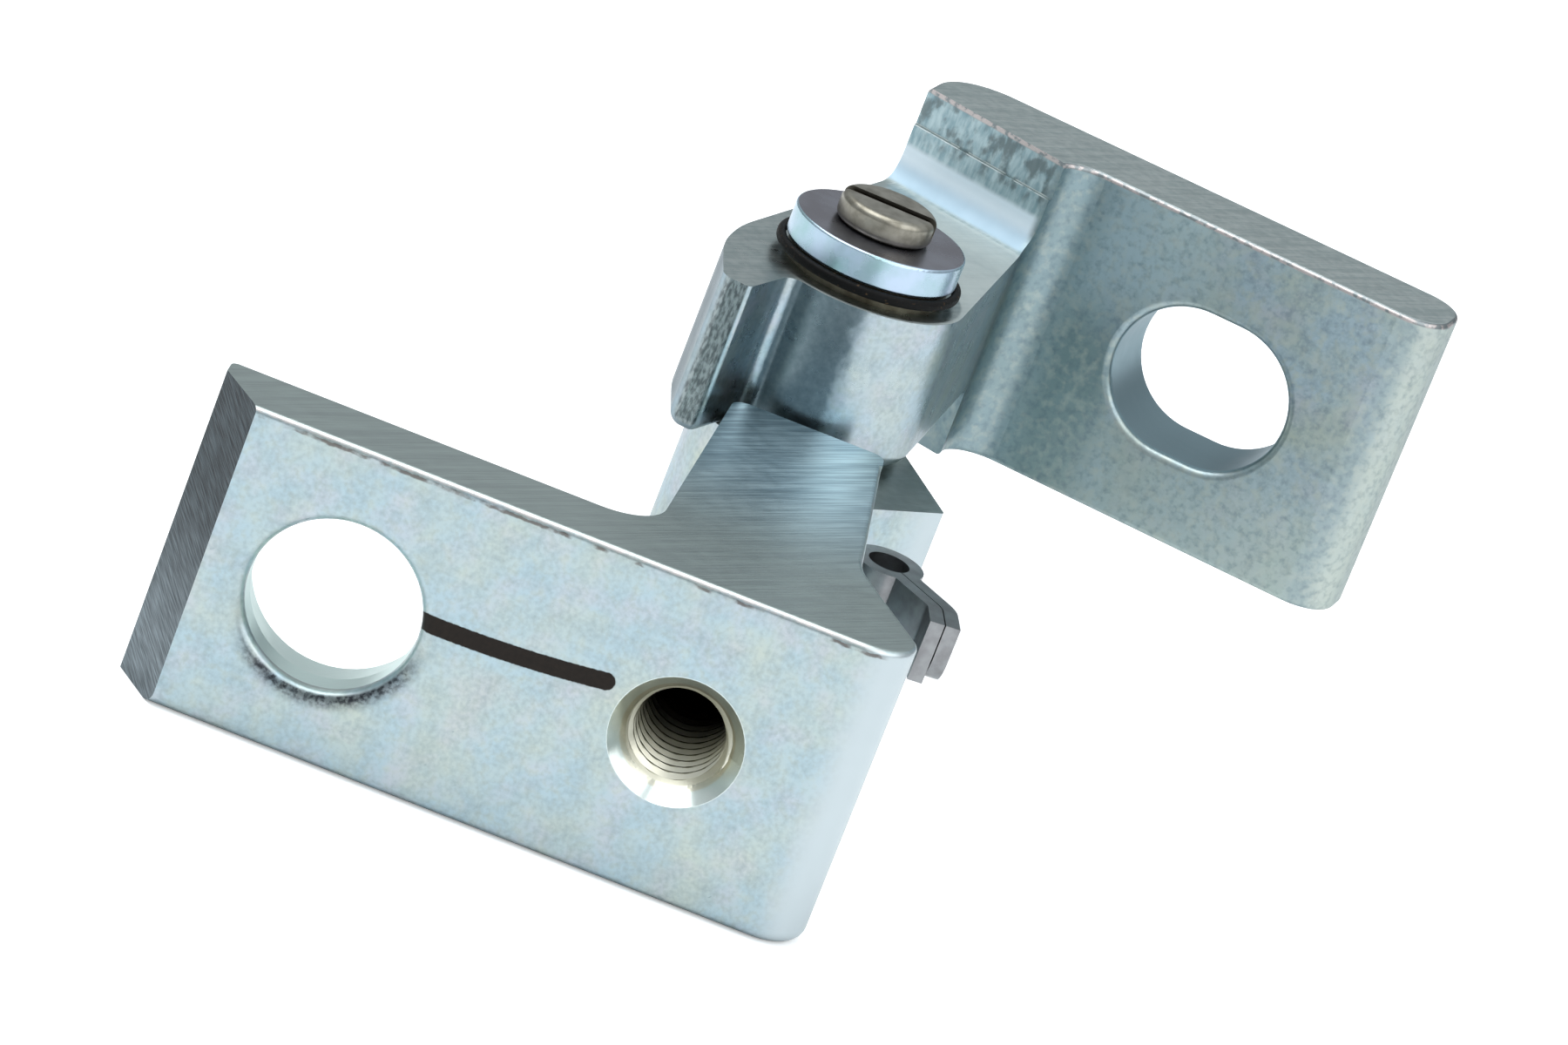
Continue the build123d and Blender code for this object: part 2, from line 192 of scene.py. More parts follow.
# Milled face above the knuckle, with a painted highlight on its foot and along the pass line
MILL_UP = (22.2, 22.5)
MILL_ASIDE = (6.4, 5.6)
MILL_FACES = (0.1, 0.3)
MILL_MARKS_UP = (23.8, 25.0)
MILL_STAINS_UP = (25.4, 26.4)
MILL_FOOT_UP = (25.4, 24.8)
MILL_FOOT_SHADE_UP = (24.2, 23.0)
PASS_NEAR_UP = (0.12, 0.05)

# Slot in the screw's head
HEAD_SLOT_TOP_UP = (HEAD_TOP_Z - 0.1, HEAD_TOP_Z - 0.4)
HEAD_SLOT_FOOT_UP = (HEAD_TOP_Z - 1.65, HEAD_TOP_Z - 1.45)
HEAD_SLOT_R = (3.3, 3.1)

# Floor and light: places and sizes in metres
FLOOR_HALF = 2.0
FLOOR_GLOW = 0.3
SKY_LOW = 0.42
SKY_HIGH = 1.0
SKY_FRONT = 1.0
SKY_BACK = 0.9
KEY_AT = (-0.25, 0.06, 0.88)
KEY_SIZE = 0.85
KEY_WATTS = 6.0
FILL_AT = (0.6, -0.35, 0.6)
FILL_SIZE = 1.0
FILL_WATTS = 4.4


def tone(red, green, blue):
    """Linear colour from the 0 to 255 values of a screen colour."""
    shares = [value / 255 for value in (red, green, blue)]
    return (*[((share + 0.055) / 1.055) ** 2.4 for share in shares], 1.0)


# Zinc plating as its blue, yellow, pink and dark shades, and how strongly its pits show
PILLAR_PLATING = (tone(174, 195, 203), tone(190, 199, 189), tone(193, 196, 203), tone(140, 156, 162), 1.0)
DOOR_PLATING = (tone(158, 176, 184), tone(167, 177, 166), tone(172, 175, 181), tone(124, 141, 148), 0.3)
KNUCKLE_PLATING = (tone(175, 192, 200), tone(183, 192, 185), tone(187, 189, 197), tone(140, 156, 163), 0.3)
WHITE = tone(255, 255, 255)


class Surface:
    """One procedural material with short words for its nodes; lengths are in mm."""

    def __init__(self, name):
        self.material = bpy.data.materials.new(name)
        self.material.use_nodes = True
        self.tree = self.material.node_tree
        self.shader = self.tree.nodes["Principled BSDF"]
        source = self.tree.nodes.new("ShaderNodeTexCoord")
        self.place = self.vector("SCALE", source.outputs["Object"], MM_PER_M)
        self.facing = source.outputs["Normal"]

    def put(self, socket, value):
        """Links a node's output to a socket, or sets a plain value on it."""
        if isinstance(value, bpy.types.NodeSocket):
            self.tree.links.new(value, socket)
        else:
            socket.default_value = value

    def vector(self, operation, first, second):
        """Result of an operation on two vectors, or on a vector and a number."""
        node = self.tree.nodes.new("ShaderNodeVectorMath")
        node.operation = operation
        self.put(node.inputs[0], first)
        self.put(node.inputs["Scale" if operation == "SCALE" else 1], second)
        return node.outputs["Value" if operation in ("DOT_PRODUCT", "DISTANCE") else "Vector"]

    def math(self, operation, *values):
        """Result of an operation on numbers."""
        node = self.tree.nodes.new("ShaderNodeMath")
        node.operation = operation
        for socket, value in zip(node.inputs, values):
            self.put(socket, value)
        return node.outputs[0]

    def add(self, *values):
        """Sum of numbers."""
        total = values[0]
        for value in values[1:]:
            total = self.math("ADD", total, value)
        return total

    def both(self, *masks):
        """Where all masks hold: their product."""
        product = masks[0]
        for mask in masks[1:]:
            product = self.math("MULTIPLY", product, mask)
        return product

    def at(self, direction):
        """How far along a direction a point of the piece lies."""
        return self.vector("DOT_PRODUCT", self.place, direction)

    def faces(self, direction):
        """How squarely the surface faces a direction."""
        return self.vector("DOT_PRODUCT", self.facing, direction)

    def step(self, value, start, end):
        """A soft step from 0 at start to 1 at end."""
        node = self.tree.nodes.new("ShaderNodeMapRange")
        node.interpolation_type = "SMOOTHSTEP"
        self.put(node.inputs["Value"], value)
        node.inputs["From Min"].default_value = start
        node.inputs["From Max"].default_value = end
        return node.outputs["Result"]

    def near(self, value, middle, far, close):
        """A soft step from 0 far from a middle value to 1 close to it."""
        return self.step(self.math("ABSOLUTE", self.math("SUBTRACT", value, middle)), far, close)

    def spread(self, value, low, high, start=0.0, end=1.0):
        """A value that runs from start to end, stretched to run from low to high."""
        node = self.tree.nodes.new("ShaderNodeMapRange")
        self.put(node.inputs["Value"], value)
        node.inputs["From Min"].default_value = start
        node.inputs["From Max"].default_value = end
        node.inputs["To Min"].default_value = low
        node.inputs["To Max"].default_value = high
        return node.outputs["Result"]

    def round_hole(self, centre_x):
        """Distance from the axis of a hole through the pillar leaf's plate."""
        flat = self.vector("MULTIPLY", self.place, (1, 0, 1))
        return self.vector("DISTANCE", flat, (centre_x, 0, 0))

    def round_pin(self):
        """Distance from the hinge pin's axis."""
        flat = self.vector("MULTIPLY", self.place, (1, 1, 0))
        return self.vector("DISTANCE", flat, (PIN_AT.x, PIN_AT.y, 0))

    def blend(self, factor, first, second):
        """A mix of two colours."""
        node = self.tree.nodes.new("ShaderNodeMix")
        node.data_type = "RGBA"
        self.put(node.inputs[0], factor)
        self.put(node.inputs[6], first)
        self.put(node.inputs[7], second)
        return node.outputs[2]

    def noise(self, size, detail=2.0):
        """Cloudy noise with patches of about one size."""
        return self.cloud(self.vector("SCALE", self.place, 1 / size), detail)

    def patches(self, size, detail, start, end, most=1.0):
        """Cloudy patches: 0 where the noise is below start, most where it is above end."""
        return self.spread(self.noise(size, detail), 0.0, most, start, end)

    def streaks(self, along, across, length, width, detail=2.0):
        """Noise drawn out into parallel marks."""
        node = self.tree.nodes.new("ShaderNodeCombineXYZ")
        self.put(node.inputs[0], self.at(along / length))
        self.put(node.inputs[1], self.at(across / width))
        return self.cloud(node.outputs[0], detail)

    def cloud(self, vector, detail):
        """Noise at a vector."""
        node = self.tree.nodes.new("ShaderNodeTexNoise")
        self.put(node.inputs["Vector"], vector)
        node.inputs["Scale"].default_value = 1.0
        node.inputs["Detail"].default_value = detail
        return node.outputs[0]

    def bump(self, height, depth, under=None):
        """Surface relief of a depth in mm, over another relief if there is one."""
        node = self.tree.nodes.new("ShaderNodeBump")
        node.inputs["Distance"].default_value = depth / MM_PER_M
        self.put(node.inputs["Height"], height)
        if under is not None:
            self.put(node.inputs["Normal"], under)
        return node.outputs["Normal"]

    def finish(self, colour, roughness, normal=None, metallic=1.0):
        """Joins colour, roughness, relief and metal to the shader."""
        self.put(self.shader.inputs["Base Color"], colour)
        self.put(self.shader.inputs["Roughness"], roughness)
        self.put(self.shader.inputs["Metallic"], metallic)
        if normal is not None:
            self.put(self.shader.inputs["Normal"], normal)
        return self.material


def plating(s, blue, yellow, pink, dark, pitted):
    """Zinc plating: blue-white with soft yellow and pink patches, fine grain and a few pits."""
    colour = s.blend(s.patches(5.0, 6.0, 0.42, 0.72), blue, yellow)
    colour = s.blend(s.patches(3.1, 6.0, 0.48, 0.8), colour, pink)
    colour = s.blend(s.patches(0.8, 4.0, 0.5, 0.72, 0.6), colour, yellow)
    grain = s.add(s.both(s.noise(0.4, 3.0), 0.6), s.both(s.noise(2.2, 4.0), 0.4))
    colour = s.blend(s.spread(grain, 0.0, 0.8, 0.42, 0.78), colour, dark)
    pits = s.step(s.streaks(SCRATCH_ALONG, SCRATCH_ACROSS, 0.9, 0.22), 0.72, 0.78)
    pitted_area = s.step(s.noise(6.0, 1.0), 0.5, 0.6)
    return s.blend(s.both(pits, pitted_area, pitted), colour, dark)


def mottled(s, colour, dark, pale):
    """Fine darker and paler specks over a colour."""
    colour = s.blend(s.patches(0.55, 4.0, 0.46, 0.74, 0.5), colour, dark)
    return s.blend(s.patches(0.8, 4.0, 0.48, 0.74, 0.5), colour, pale)


def sawn_lines(s):
    """Fine parallel lines, the way the saw blade went."""
    fine = s.streaks(SAW_ALONG, SAW_ACROSS, 7.0, 0.16, 3.0)
    broad = s.streaks(SAW_ALONG, SAW_ACROSS, 16.0, 0.7, 1.0)
    return s.step(s.add(s.both(fine, 0.6), s.both(broad, 0.4)), 0.36, 0.64)


def marker_line(s):
    """Where the dark marker line runs on the mounting face."""
    x = s.at(RIGHT)
    along = s.math("MINIMUM", s.math("MAXIMUM", x, MARK_START[0]), MARK_END[0])
    off_middle = s.spread(along, -1.0, 1.0, MARK_START[0], MARK_END[0])
    sag = s.spread(s.both(off_middle, off_middle), -MARK_SAG, 0.0)
    rise = s.spread(off_middle, MARK_START[1], MARK_END[1], -1.0, 1.0)
    beside = s.math("SUBTRACT", s.at(UP), s.add(rise, sag))
    beyond = s.math("SUBTRACT", x, along)
    off_line = s.math("SQRT", s.add(s.both(beside, beside), s.both(beyond, beyond)))
    ragged = s.add(off_line, s.spread(s.noise(0.3), -MARK_RAGGED, MARK_RAGGED))
    line = s.step(ragged, MARK_WIDTH / 2 + MARK_SOFT, MARK_WIDTH / 2 - MARK_SOFT)
    return s.both(line, s.step(s.faces(FRONT), *MARK_FACES), s.step(s.at(FRONT), *MARK_FRONT))


def edge_highlight_and_dirt(s, colour):
    """The front top edge of the pillar leaf's plate: a painted highlight along it, with a broken dark line of dirt
    below.
    """
    edge = s.step(s.at(FRONT), *EDGE_FRONT)
    height = s.add(s.at(UP), s.spread(s.noise(0.9, 4.0), -EDGE_WANDER, EDGE_WANDER))
    # painted highlight: the edge's bright line is painted lighter, broken into patches
    painted_highlight = s.both(edge, s.step(height, *EDGE_HIGHLIGHT_UP), s.patches(0.7, 4.0, 0.25, 0.6))
    colour = s.blend(painted_highlight, colour, tone(206, 202, 200))
    dirt = s.both(edge, s.step(height, *EDGE_DIRT_FOOT), s.step(height, *EDGE_DIRT_TOP))
    broken = s.step(s.noise(2.6, 6.0), 0.42, 0.54)
    return s.blend(s.both(dirt, broken, 0.85), colour, tone(96, 88, 84))


def sawn_top(s, colour, lines):
    """The pillar leaf's sawn top and foot: nearly plain on the plate, lined on the neck and painted paler and
    bluer there as a sheen, dull on the lug.
    """
    # painted sheen: the neck's sawn top is painted paler than the plate's
    neck = s.step(s.at(FRONT), *NECK_FRONT)
    pale = s.blend(neck, tone(163, 176, 173), tone(211, 234, 242))
    dark = s.blend(neck, tone(151, 162, 161), tone(152, 178, 190))
    top = s.step(s.math("ABSOLUTE", s.faces(UP)), *SQUARE_FACES)
    colour = s.blend(top, colour, s.blend(lines, dark, pale))
    sunk = s.both(s.step(s.faces(UP), *SQUARE_FACES), s.step(s.at(UP), *LUG_TOP_UP))
    dull = s.blend(s.noise(0.8, 4.0), tone(142, 152, 151), tone(172, 182, 181))
    return s.blend(sunk, colour, dull), top


def sawn_bevel(s, colour):
    """The cut left end of the pillar leaf's plate: coarse slanting saw marks, painted dark as shade, less dark
    near its foot.
    """
    cuts = s.streaks(BEVEL_ALONG, BEVEL_ACROSS, 2.2, 0.17, 5.0)
    bevel = s.both(s.step(s.faces(BEVEL_FACING), *BEVEL_FACES), s.step(s.at(RIGHT), *BEVEL_RIGHT))
    # painted shade: the bevel is painted dark, fading towards its foot
    foot = s.step(s.at(UP), *BEVEL_SHADE_FADE_UP)
    dark = s.blend(foot, tone(34, 39, 43), tone(84, 93, 98))
    pale = s.blend(foot, tone(76, 87, 92), tone(138, 150, 156))
    colour = s.blend(bevel, colour, s.blend(s.step(cuts, 0.28, 0.78), dark, pale))
    return colour, s.both(cuts, bevel)


def plain_hole(s, colour):
    """Bright wall of the plain hole, and a painted dark reflection under its rim, broken into specks."""
    off_axis = s.round_hole(PLAIN_HOLE_X)
    wall = s.both(s.step(off_axis, *HOLE_WALL_R), s.step(s.at(FRONT), *HOLE_WALL_FRONT))
    colour = s.blend(wall, colour, tone(214, 234, 230))
    # painted reflection: a speckled dark band under the rim, where its rounded lip reflects dark
    ring = s.both(s.step(off_axis, *HOLE_SHADE_OUTER_R), s.step(off_axis, *HOLE_SHADE_INNER_R))
    under = s.both(s.step(s.at(HOLE_SHADE_SIDE), *HOLE_SHADE_ALONG), s.step(s.faces(FRONT), *HOLE_SHADE_FACES))
    specks = s.spread(s.step(s.noise(0.35, 4.0), 0.35, 0.65), 0.5, 0.95)
    return s.blend(s.both(ring, under, specks), colour, tone(46, 48, 54))


def threaded_hole(s, colour):
    """Bright countersink, and the thread with painted shade that deepens the further in it lies."""
    off_axis = s.round_hole(THREAD_X)
    depth = s.at(FRONT)
    sink = s.both(s.step(off_axis, *SINK_R), s.step(depth, *SINK_FRONT))
    colour = s.blend(sink, colour, tone(222, 232, 228))
    inside = s.both(s.step(off_axis, *THREAD_R), s.step(depth, *THREAD_MOUTH_FRONT))
    inside = s.both(inside, s.step(depth, *THREAD_FOOT_FRONT))
    # painted shade: the thread is painted darker the deeper it lies
    thread = s.blend(s.step(depth, *THREAD_SHADE_FRONT), tone(214, 212, 196), tone(34, 28, 20))
    return s.blend(inside, colour, thread), sink


def pillar_zinc():
    """Pillar leaf: pale plated faces, sawn top and foot, sawn bevel painted dark as shade, marker line."""
    s = Surface("pillar_zinc")
    colour = plating(s, *PILLAR_PLATING)
    # painted sheen: the rounded right end is painted paler, as a reflection
    end = s.both(s.step(s.at(RIGHT), *END_SHEEN_RIGHT), s.step(s.faces(UP), *END_SHEEN_FACES))
    colour = s.blend(end, colour, tone(192, 203, 207))
    colour = edge_highlight_and_dirt(s, colour)
    lines = sawn_lines(s)
    colour, top = sawn_top(s, colour, lines)
    colour, cuts = sawn_bevel(s, colour)
    colour = plain_hole(s, colour)
    colour, sink = threaded_hole(s, colour)
    marker = marker_line(s)
    ink = s.blend(s.noise(0.4, 3.0), tone(12, 9, 6), tone(36, 27, 20))
    colour = s.blend(marker, colour, ink)
    relief = s.bump(s.both(lines, top), 0.01)
    relief = s.bump(cuts, 0.03, relief)
    relief = s.bump(s.noise(1.2, 3.0), 0.008, relief)
    polish = s.spread(sink, 1.0, 0.5)
    roughness = s.both(s.spread(s.noise(1.5, 3.0), 0.28, 0.42), polish)
    s.put(s.shader.inputs["Specular IOR Level"], 0.2)
    return s.finish(colour, roughness, relief, s.spread(marker, 1.0, 0.0))


def slot_wall(s, aside):
    """The inner wall of the door leaf's slotted hole."""
    along = s.near(aside, SLOT_ASIDE, *SLOT_NEAR_ASIDE)
    level = s.near(s.at(UP), SLOT_AT.z, *SLOT_NEAR_UP)
    return s.both(along, level, s.step(s.math("ABSOLUTE", s.faces(DOOR_FRONT)), *SLOT_WALL_FACES))


def plate_shades(s, colour, aside):
    """Painted light on the front of the door leaf's plate: painted shade near the root, a painted sheen upper
    left, painted shade left of the slot.
    """
    front = s.step(s.faces(DOOR_FRONT), *FRONT_FACES)
    # painted shade near the root, paler across a stripe further out
    root = s.blend(s.step(aside, *ROOT_STRIPE_ASIDE), tone(136, 157, 162), tone(152, 175, 180))
    colour = s.blend(s.both(s.step(aside, *ROOT_SHADE_ASIDE), front, 0.8), colour, root)
    # painted sheen on the upper left
    pale = s.both(s.step(aside, *SHEEN_RIGHT_ASIDE), s.step(aside, *SHEEN_LEFT_ASIDE))
    pale = s.both(pale, s.step(s.at(UP), *SHEEN_UP))
    colour = s.blend(s.both(pale, front, 0.7), colour, tone(175, 196, 202))
    # painted shade left of the slot
    shade = s.both(s.step(aside, *SHADE_RIGHT_ASIDE), s.step(aside, *SHADE_LEFT_ASIDE))
    shade = s.both(shade, s.step(s.at(UP), *SHADE_UP))
    return s.blend(s.both(shade, front, 0.8), colour, tone(114, 137, 139))


def door_plate(s, aside, slot):
    """The door leaf's plate: blue-grey and mottled, paler towards its foot and right end."""
    colour = plate_shades(s, plating(s, *DOOR_PLATING), aside)
    foot = s.both(s.step(s.at(UP), *FOOT_UP), s.step(aside, *FOOT_ASIDE))
    colour = s.blend(s.both(foot, s.spread(s.noise(3.0, 4.0), 0.4, 1.0)), colour, tone(178, 193, 188))
    sideways = s.faces(DOOR_ALONG)
    end = s.both(s.step(sideways, *DOOR_END_FACES), s.step(aside, *DOOR_END_ASIDE))
    colour = s.blend(s.both(end, s.spread(s.noise(2.0, 4.0), 0.5, 1.0)), colour, tone(187, 196, 189))
    bend = s.both(s.step(sideways, *BEND_START_FACES), s.step(sideways, *BEND_END_FACES))
    bend = s.both(bend, s.step(aside, *BEND_ASIDE), 0.6)
    colour = s.blend(bend, colour, tone(138, 155, 160))
    colour = mottled(s, colour, tone(104, 122, 130), tone(186, 194, 187))
    return s.blend(slot, colour, tone(142, 165, 173))


def knuckle_skin(s, ahead, aside):
    """Smooth plating round the knuckle with a band of painted shade down its front, painted shade on the nose's
    side, and a speckled nose facet.
    """
    colour = plating(s, *KNUCKLE_PLATING)
    # painted shade: a dark band down the front where the knuckle turns away from the right
    across = s.add(s.faces(RIGHT), s.spread(s.noise(1.4, 4.0), -0.16, 0.16))
    shade_band = s.both(s.step(across, *KNUCKLE_SHADE_FACES), s.step(aside, *KNUCKLE_SHADE_ASIDE), s.step(ahead, *KNUCKLE_SHADE_AHEAD))
    shade_band_colour = s.blend(s.noise(0.5, 4.0), tone(96, 112, 120), tone(142, 156, 162))
    colour = s.blend(shade_band, colour, shade_band_colour)
    # painted shade: the nose's left side is painted darker
    colour = s.blend(s.step(aside, *NOSE_SHADE_ASIDE), colour, tone(116, 128, 134))
    facet = s.both(s.step(ahead, *NOSE_FACET_AHEAD), s.step(s.faces(DOOR_FRONT), *SQUARE_FACES))
    flecks = s.streaks(UP, DOOR_ALONG, 0.7, 0.25, 4.0)
    speckle = s.blend(s.step(flecks, 0.35, 0.65), tone(153, 164, 165), tone(100, 108, 110))
    return s.blend(facet, colour, speckle)


def knuckle_rim_highlight(s, aside):
    """A painted highlight on the top of the knuckle and arm, outside the seal ring and away from the nose."""
    painted_highlight = s.both(s.step(s.round_pin(), *RIM_R), s.step(aside, *RIM_ASIDE), 0.7)
    level = s.near(s.at(UP), KNUCKLE_TOP_Z, *RIM_NEAR_UP)
    return s.both(painted_highlight, level, s.step(s.faces(UP), *RIM_FACES))


def mill_marks(s, aside):
    """Upright marks of the milling cutter, darker near the top, a painted highlight on the foot with painted shade
    at its base, and a painted highlight on the pass line.
    """
    height = s.at(UP)
    milled = s.both(s.step(height, *MILL_UP), s.step(aside, *MILL_ASIDE))
    milled = s.both(milled, s.step(s.faces(DOOR_FRONT), *MILL_FACES))
    marks = s.both(s.streaks(UP, DOOR_ALONG, 1.6, 0.5, 5.0), s.step(height, *MILL_MARKS_UP))
    colour = s.blend(s.step(marks, 0.3, 0.7), tone(140, 166, 174), tone(182, 202, 206))
    stains = s.step(s.streaks(UP, DOOR_ALONG, 2.0, 1.3, 5.0), 0.46, 0.62)
    colour = s.blend(s.both(stains, s.step(height, *MILL_STAINS_UP), 0.8), colour, tone(104, 116, 118))
    # painted highlight on the foot, with painted shade lower down towards the knuckle
    foot = s.step(height, *MILL_FOOT_UP)
    foot_highlight_colour = s.blend(s.step(height, *MILL_FOOT_SHADE_UP), tone(228, 239, 245), tone(184, 204, 216))
    colour = s.blend(foot, colour, foot_highlight_colour)
    # painted highlight along the ledge between the two passes
    pass_highlight = s.both(s.near(height, PASS_Z, *PASS_NEAR_UP), s.step(s.noise(1.0, 4.0), 0.38, 0.52))
    colour = s.blend(pass_highlight, colour, tone(216, 224, 224))
    return milled, colour, s.both(marks, milled), s.both(foot, milled)


def door_top(s, colour, lines, slot):
    """The door leaf's sawn top and foot, mottled, with its upper edge painted darker to dim its highlight and
    broken painted highlights along it.
    """
    top = s.both(s.step(s.math("ABSOLUTE", s.faces(UP)), *FLAT_FACES), s.step(slot, 0.3, 0.0))
    mottle = s.add(s.both(lines, 0.3), s.both(s.noise(0.7, 5.0), 0.7))
    sawn = s.blend(s.step(mottle, 0.3, 0.7), tone(174, 186, 185), tone(197, 205, 203))
    colour = s.blend(top, colour, sawn)
    # painted shade dims the upper edge; the broken bright spots are painted highlights
    edge = s.step(s.at(UP), *DOOR_EDGE_UP)
    colour = s.blend(edge, colour, s.blend(top, tone(138, 145, 147), colour))
    painted_glints = s.both(edge, s.step(s.faces(UP), *DOOR_EDGE_FACES), s.step(s.noise(0.6, 4.0), 0.4, 0.55))
    return s.blend(painted_glints, colour, tone(196, 188, 186)), top


def door_zinc():
    """Door leaf: plated plate, smoother knuckle, speckled nose, milled face above the knuckle."""
    s = Surface("door_zinc")
    ahead = s.math("SUBTRACT", s.at(DOOR_FRONT), PIN_AHEAD)
    aside = s.math("SUBTRACT", s.at(DOOR_ALONG), PIN_ASIDE)
    slot = slot_wall(s, aside)
    plate = s.step(ahead, *PLATE_AHEAD)
    colour = s.blend(plate, knuckle_skin(s, ahead, aside), door_plate(s, aside, slot))
    milled, mill_colour, marks, mill_foot = mill_marks(s, aside)
    colour = s.blend(milled, colour, mill_colour)
    lines = sawn_lines(s)
    colour, top = door_top(s, colour, lines, slot)
    rim = knuckle_rim_highlight(s, aside)
    # painted highlight on the knuckle's rim
    colour = s.blend(rim, colour, tone(196, 205, 204))
    relief = s.bump(s.both(lines, top), 0.008)
    relief = s.bump(marks, 0.012, relief)
    relief = s.bump(s.noise(1.6, 2.0), 0.006, relief)
    roughness = s.add(s.spread(s.noise(1.5, 3.0), 0.22, 0.36), s.both(milled, 0.1), s.both(mill_foot, 0.25))
    roughness = s.add(roughness, s.both(rim, 0.35), s.both(plate, 0.08))
    s.put(s.shader.inputs["Specular Tint"], tone(208, 212, 214))
    return s.finish(colour, roughness, relief)


def plain_metal(name, pale, dark, smooth, rough):
    """A small plain metal piece with a light grain."""
    s = Surface(name)
    grain = s.noise(1.1, 5.0)
    colour = s.blend(s.step(grain, 0.3, 0.75), pale, dark)
    return s.finish(colour, s.spread(grain, smooth, rough), s.bump(grain, 0.006))


def pin_steel():
    """Ground steel of the hinge pin."""
    return plain_metal("pin_steel", tone(200, 202, 204), tone(176, 178, 181), 0.2, 0.35)


def bush_bronze():
    """Dull bronze of the two bushes, painted darker as shade under the seal ring."""
    return plain_metal("bush_bronze", tone(112, 106, 92), tone(80, 73, 60), 0.35, 0.5)


def clip_steel():
    """Grey steel of the spring clip."""
    return plain_metal("clip_steel", tone(155, 157, 159), tone(134, 134, 136), 0.25, 0.38)


def washer_zinc():
    """Retaining washer: pale blue edge, mauve-grey top."""
    s = Surface("washer_zinc")
    shade = s.noise(3.0, 4.0)
    patches = s.spread(shade, 0.0, 1.0, 0.35, 0.65)
    edge = s.blend(patches, tone(160, 190, 196), tone(188, 206, 226))
    top = s.blend(patches, tone(120, 118, 127), tone(138, 139, 149))
    colour = s.blend(s.step(s.faces(UP), *SQUARE_FACES), edge, top)
    return s.finish(colour, s.spread(shade, 0.2, 0.35), s.bump(s.noise(0.7, 3.0), 0.004))


def screw_steel():
    """Retaining screw: yellowed plating with a dark brown slot."""
    s = Surface("screw_steel")
    grain = s.noise(1.2, 5.0)
    colour = s.blend(s.step(grain, 0.3, 0.75), tone(158, 155, 144), tone(116, 113, 102))
    slot = s.both(s.step(s.at(UP), *HEAD_SLOT_TOP_UP), s.step(s.at(UP), *HEAD_SLOT_FOOT_UP))
    slot = s.both(slot, s.step(s.round_pin(), *HEAD_SLOT_R))
    colour = s.blend(slot, colour, tone(62, 46, 34))
    return s.finish(colour, s.spread(grain, 0.25, 0.42), s.bump(grain, 0.01))


def seal_rubber():
    """Black rubber with brown specks of grease."""
    s = Surface("seal_rubber")
    grain = s.noise(0.35, 3.0)
    colour = s.blend(s.step(grain, 0.62, 0.74), tone(5, 5, 5), tone(74, 58, 40))
    s.put(s.shader.inputs["Specular IOR Level"], 0.15)
    return s.finish(colour, s.spread(grain, 0.45, 0.7), s.bump(grain, 0.03), 0.0)


def thread_r(y, share):
    """Radius of the thread at a depth and a share of a turn, cut back by the countersink at its mouth."""
    phase = (y / THREAD_PITCH - share) % 1
    flank = min(1.0, max(0.0, abs(phase - 0.5) * FLANK_SLOPE - FLANK_FLAT))
    sink_r = SINK_MOUTH_R - (SINK_MOUTH_R - THREAD_OUTER_R) * y / THREAD_START
    return max(THREAD_CORE_R + (THREAD_OUTER_R - THREAD_CORE_R) * flank, sink_r)


def ring_point(radius, share, y):
    """A point round the threaded hole's axis, in metres."""
    angle = 2 * pi * share
    x = THREAD_X + radius * cos(angle)
    return (x / MM_PER_M, y / MM_PER_M, radius * sin(angle) / MM_PER_M)


def thread_liner():
    """Helical thread inside the threaded hole: rings of points, closed by an outer wall."""
    rows = round((THREAD_END - THREAD_START) / THREAD_PITCH * ROWS_PER_PITCH)
    shares = [side / THREAD_SIDES for side in range(THREAD_SIDES)]
    points = []
    for row in range(rows + 1):
        y = THREAD_START + (THREAD_END - THREAD_START) * row / rows
        points += [ring_point(thread_r(y, share), share, y) for share in shares]
    for y in (THREAD_END, THREAD_START):
        points += [ring_point(LINER_WALL_R, share, y) for share in shares]
    rings = rows + 3
    faces = []
    for ring in range(rings):
        start = ring * THREAD_SIDES
        following = (ring + 1) % rings * THREAD_SIDES
        for side in range(THREAD_SIDES):
            across = (side + 1) % THREAD_SIDES
            faces.append((start + side, start + across, following + across, following + side))
    mesh = bpy.data.meshes.new("pillar_thread")
    mesh.from_pydata(points, [], faces)
    mesh.update()
    liner = bpy.data.objects.new("pillar_thread", mesh)
    scene.collection.objects.link(liner)
    return liner


def paint(material, *nodes):
    """Gives CAD pieces their material."""
    for node in nodes:
        materials = frame["nodes"][node].data.materials
        materials.clear()
        materials.append(material)


def add_floor():
    """Large pale floor under the pillar leaf, white to the camera away from the hinge."""
    half = FLOOR_HALF
    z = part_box("pillar_leaf")[0].z
    mesh = bpy.data.meshes.new("floor")
    corners = [(-half, -half, z), (half, -half, z), (half, half, z), (-half, half, z)]
    mesh.from_pydata(corners, [], [(0, 1, 2, 3)])
    floor = bpy.data.objects.new("floor", mesh)
    scene.collection.objects.link(floor)
    s = Surface("floor")
    tint = s.blend(s.noise(40.0), tone(243, 244, 245), tone(246, 246, 246))
    path = s.tree.nodes.new("ShaderNodeLightPath")
    s.put(s.shader.inputs["Emission Color"], WHITE)
    s.put(s.shader.inputs["Emission Strength"], s.spread(path.outputs["Is Camera Ray"], 0.0, FLOOR_GLOW))
    s.put(s.shader.inputs["Specular IOR Level"], 0.0)
    mesh.materials.append(s.finish(tint, 0.9, None, 0.0))


